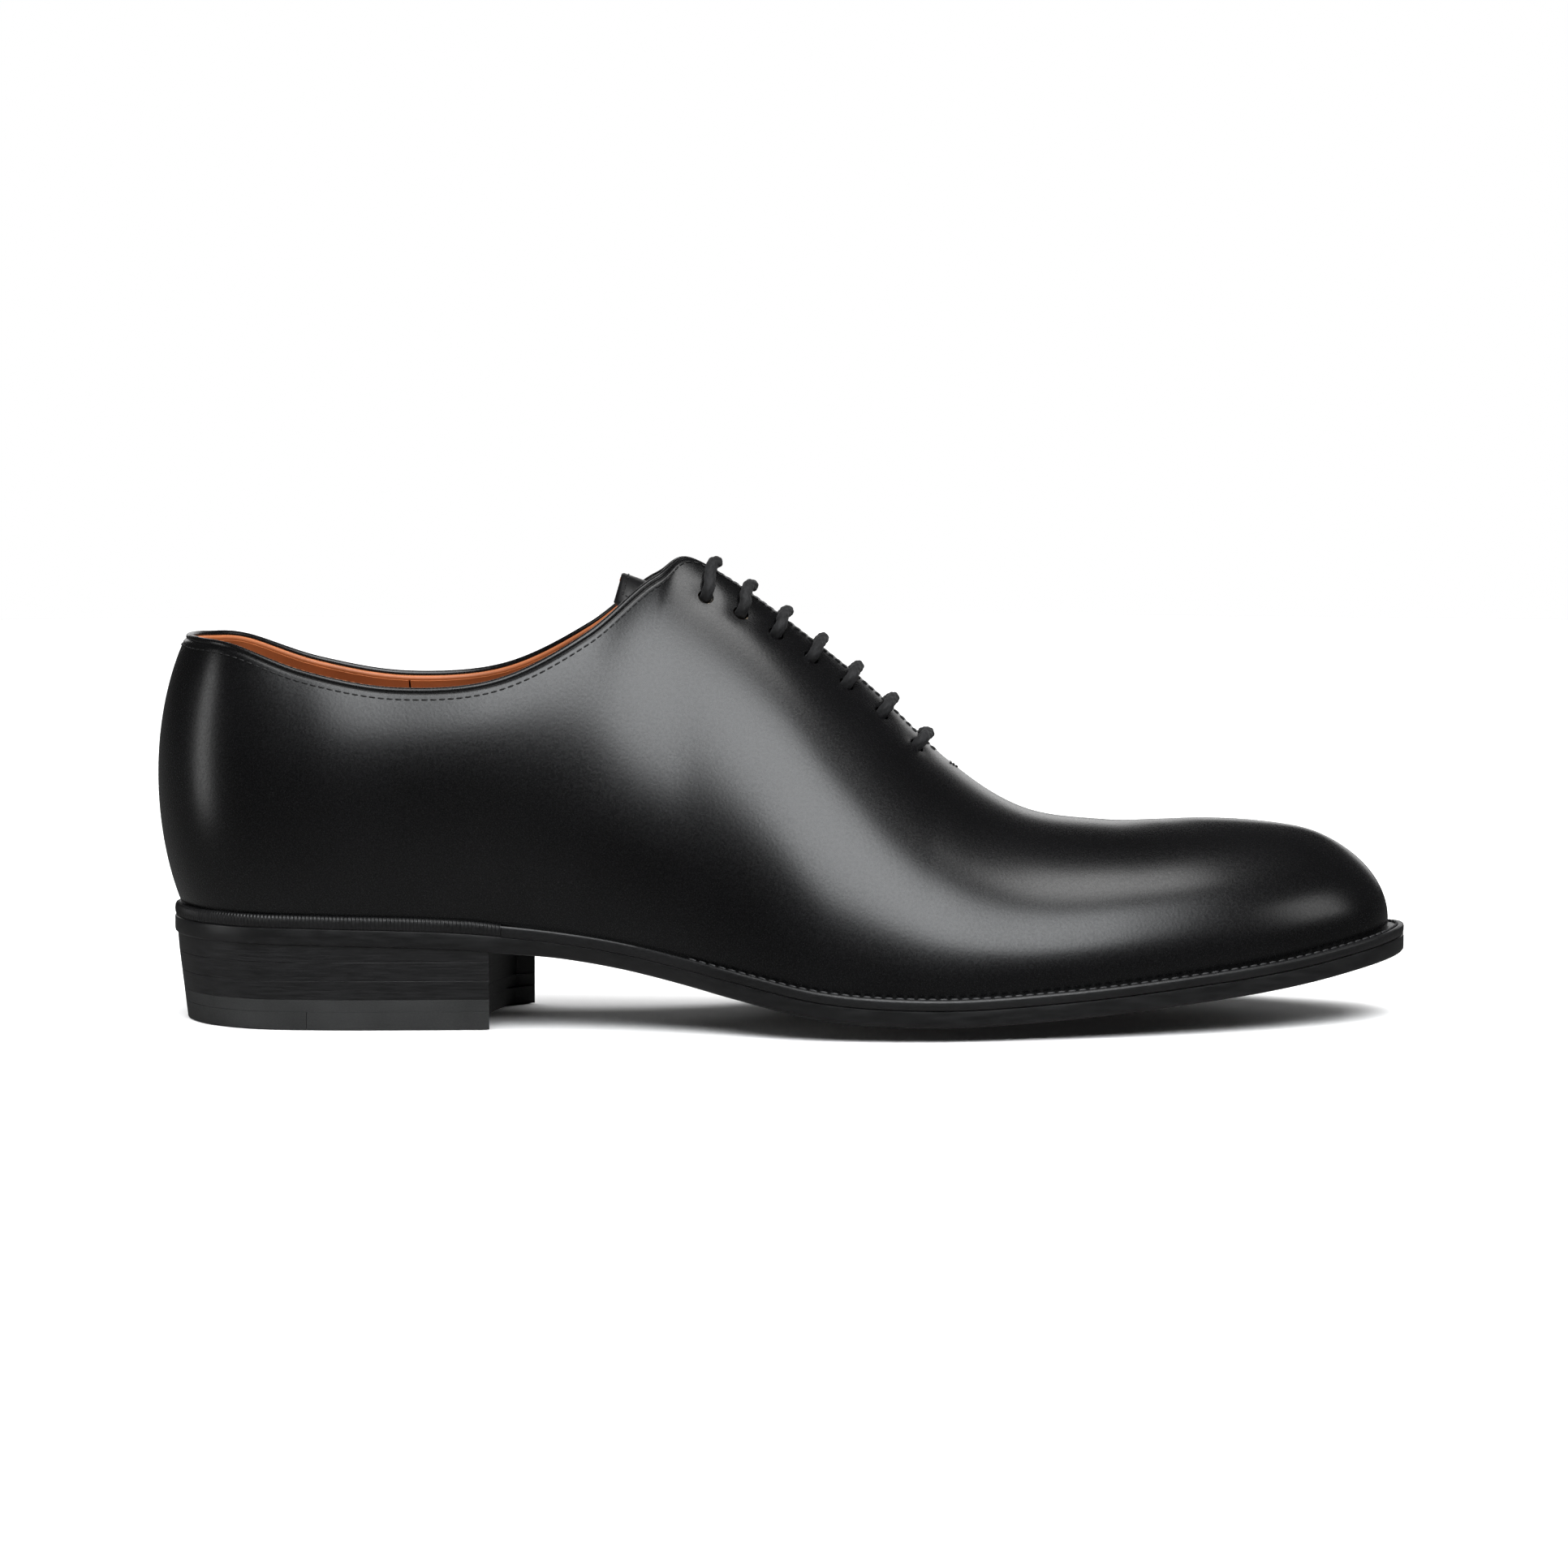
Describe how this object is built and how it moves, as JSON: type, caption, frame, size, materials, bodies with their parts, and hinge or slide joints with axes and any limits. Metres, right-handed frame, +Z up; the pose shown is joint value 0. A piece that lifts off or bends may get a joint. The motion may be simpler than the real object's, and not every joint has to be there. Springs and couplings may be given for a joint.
{
  "type": "oxford shoe",
  "caption": "Right-foot wholecut oxford dress shoe: one-piece lasted upper closed by straight-laced facings, hinged tongue, welted leather sole and stacked heel",
  "frame": {"origin": "middle of the shoe's bounding box in plan, on the ground under the heel", "axes": "+X towards the toe, +Y towards the inner (medial) side, +Z up"},
  "size_m": [0.3048, 0.104, 0.1128],
  "materials": {
    "upper_calf": "polished black calf with a fine grain",
    "lining_leather": "smooth cognac lining calf",
    "stiffener_board": "pressed fibre stiffener, bonded between upper and lining",
    "eyelet_brass": "plain brass",
    "lace_cord": "round braided waxed cotton, matt charcoal",
    "insole_leather": "undyed vegetable tanned leather",
    "welt_leather": "black dyed welt leather, waxed edge",
    "sole_leather": "black dyed bend leather, satin edge",
    "heel_stack": "stacked leather lifts dyed charcoal",
    "heel_rubber": "matt black rubber",
    "cork": "granulated cork filler",
    "shank_steel": "tempered spring steel strip"
  },
  "bodies": {
    "shoe_body": {"upper_wholecut": "upper_calf", "topline_binding": "upper_calf", "heel_lining": "lining_leather", "quarter_lining_outer": "lining_leather", "quarter_lining_inner": "lining_leather", "vamp_lining": "lining_leather", "heel_pad": "lining_leather", "heel_counter": "stiffener_board", "toe_puff": "stiffener_board", "facing_stay_outer": "stiffener_board", "facing_stay_inner": "stiffener_board", "insole_rib": "stiffener_board", "eyelet_outer_1": "eyelet_brass", "eyelet_outer_2": "eyelet_brass", "eyelet_outer_3": "eyelet_brass", "eyelet_outer_4": "eyelet_brass", "eyelet_outer_5": "eyelet_brass", "eyelet_outer_6": "eyelet_brass", "eyelet_outer_7": "eyelet_brass", "eyelet_inner_1": "eyelet_brass", "eyelet_inner_2": "eyelet_brass", "eyelet_inner_3": "eyelet_brass", "eyelet_inner_4": "eyelet_brass", "eyelet_inner_5": "eyelet_brass", "eyelet_inner_6": "eyelet_brass", "eyelet_inner_7": "eyelet_brass", "aglet_outer": "eyelet_brass", "aglet_inner": "eyelet_brass", "heel_nail_1": "eyelet_brass", "heel_nail_2": "eyelet_brass", "heel_nail_3": "eyelet_brass", "heel_nail_4": "eyelet_brass", "heel_nail_5": "eyelet_brass", "lace": "lace_cord", "insole": "insole_leather", "welt": "welt_leather", "heel_rand": "welt_leather", "outsole": "sole_leather", "top_piece_base": "sole_leather", "top_piece_leather": "sole_leather", "heel_lift_1": "heel_stack", "heel_lift_2": "heel_stack", "heel_lift_3": "heel_stack", "top_piece_rubber": "heel_rubber", "cork_filler": "cork", "shank": "shank_steel"},
    "tongue_flap": {"tongue": "upper_calf", "tongue_lining": "lining_leather"}
  },
  "joints": [
    {"name": "tongue_fold", "type": "hinge", "parent": "shoe_body", "child": "tongue_flap", "pos_m": [0.0375, 0.0019, 0.0555], "axis": [0, 1, 0], "range_deg": [-28, 0]}
  ]
}
